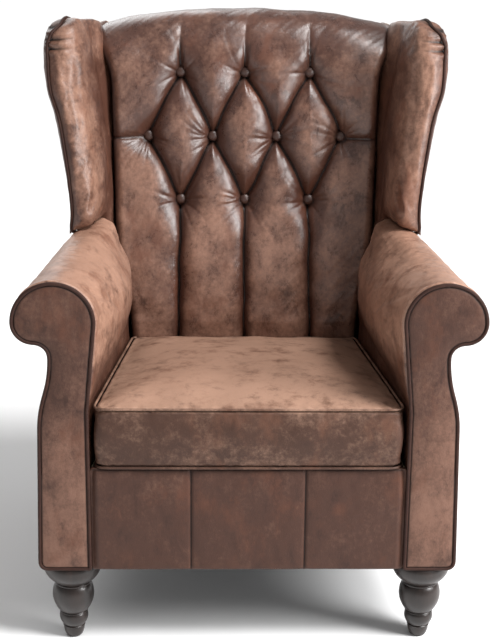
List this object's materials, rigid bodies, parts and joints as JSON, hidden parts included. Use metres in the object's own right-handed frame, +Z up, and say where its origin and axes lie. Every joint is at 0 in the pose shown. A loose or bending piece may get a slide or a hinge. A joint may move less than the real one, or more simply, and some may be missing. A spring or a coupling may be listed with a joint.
{
  "type": "upholstered armchair",
  "caption": "Leather wing armchair with a buttoned back, rolled arms, a loose seat cushion, turned front legs and raked rear legs.",
  "frame": {"origin": "on the floor, at the centre of the footprint of the whole chair", "axes": "+Z up, the chair faces -Y, +X towards the sitter's left"},
  "size_m": [0.84, 0.85, 1.09],
  "materials": {
    "worn_leather": "aniline leather with a waxy sheen, mottled and rubbed paler at the crowns",
    "cushion_leather": "the same hide, more matte and paler where it is sat on",
    "border_leather": "the same hide in three panels with open seams",
    "button_leather": "the same hide pulled over a button",
    "dark_piping_leather": "dark welt",
    "dark_turned_wood": "espresso stain under satin lacquer",
    "frame_hardwood": "bare planed beech",
    "spring_steel": "bright wire and zinc plate",
    "glide_nylon": "dark nylon",
    "jute": "plain woven jute",
    "black_cambric": "thin non-woven cloth",
    "upholstery_foam": "open-cell foam wrapped in fibre",
    "deck_cloth": "brown platform cloth",
    "zip_tape": "woven tape with coil teeth",
    "slider_brass": "dull antique brass"
  },
  "bodies": {
    "chair": {"back_cover": "worn_leather", "back_pad": "upholstery_foam", "back_webbing": "jute", "button_twine": "jute", "corner_blocks": "frame_hardwood", "crest_rail": "frame_hardwood", "deck_cover": "deck_cloth", "deck_pad": "upholstery_foam", "dust_cover": "black_cambric", "front_border_cover": "border_leather", "front_border_pad": "upholstery_foam", "left_arm_cover": "worn_leather", "left_arm_facing": "worn_leather", "left_arm_pad": "upholstery_foam", "left_arm_rail": "frame_hardwood", "left_arm_scroll_board": "frame_hardwood", "left_back_post": "frame_hardwood", "left_facing_piping": "dark_piping_leather", "left_front_leg": "dark_turned_wood", "left_outside_arm_panel": "worn_leather", "left_outside_wing_panel": "worn_leather", "left_rear_leg": "dark_turned_wood", "left_seat_rail": "frame_hardwood", "left_wing_board": "frame_hardwood", "left_wing_cover": "worn_leather", "left_wing_pad": "upholstery_foam", "left_wing_piping": "dark_piping_leather", "leg_bolts": "spring_steel", "leg_glides": "glide_nylon", "lumbar_rail": "frame_hardwood", "outside_back_panel": "worn_leather", "right_arm_cover": "worn_leather", "right_arm_facing": "worn_leather", "right_arm_pad": "upholstery_foam", "right_arm_rail": "frame_hardwood", "right_arm_scroll_board": "frame_hardwood", "right_back_post": "frame_hardwood", "right_facing_piping": "dark_piping_leather", "right_front_leg": "dark_turned_wood", "right_outside_arm_panel": "worn_leather", "right_outside_wing_panel": "worn_leather", "right_rear_leg": "dark_turned_wood", "right_seat_rail": "frame_hardwood", "right_wing_board": "frame_hardwood", "right_wing_cover": "worn_leather", "right_wing_pad": "upholstery_foam", "right_wing_piping": "dark_piping_leather", "seat_back_rail": "frame_hardwood", "seat_front_rail": "frame_hardwood", "seat_springs": "spring_steel", "spring_clips": "spring_steel", "spring_cover": "jute", "tuft_buttons": "button_leather"},
    "seat_cushion": {"cushion_cover": "cushion_leather", "cushion_foam": "upholstery_foam", "cushion_piping": "cushion_leather", "cushion_zip_tape": "zip_tape"},
    "zip_slider": {"zip_slider": "slider_brass"}
  },
  "joints": [
    {"name": "cushion_slide_out", "type": "slide", "parent": "chair", "child": "seat_cushion", "axis": [0, -0.9981, 0.061], "range_m": [0, 0.6]},
    {"name": "zip_slide", "type": "slide", "parent": "seat_cushion", "child": "zip_slider", "axis": [1, 0, 0], "range_m": [0, 0.426]}
  ]
}
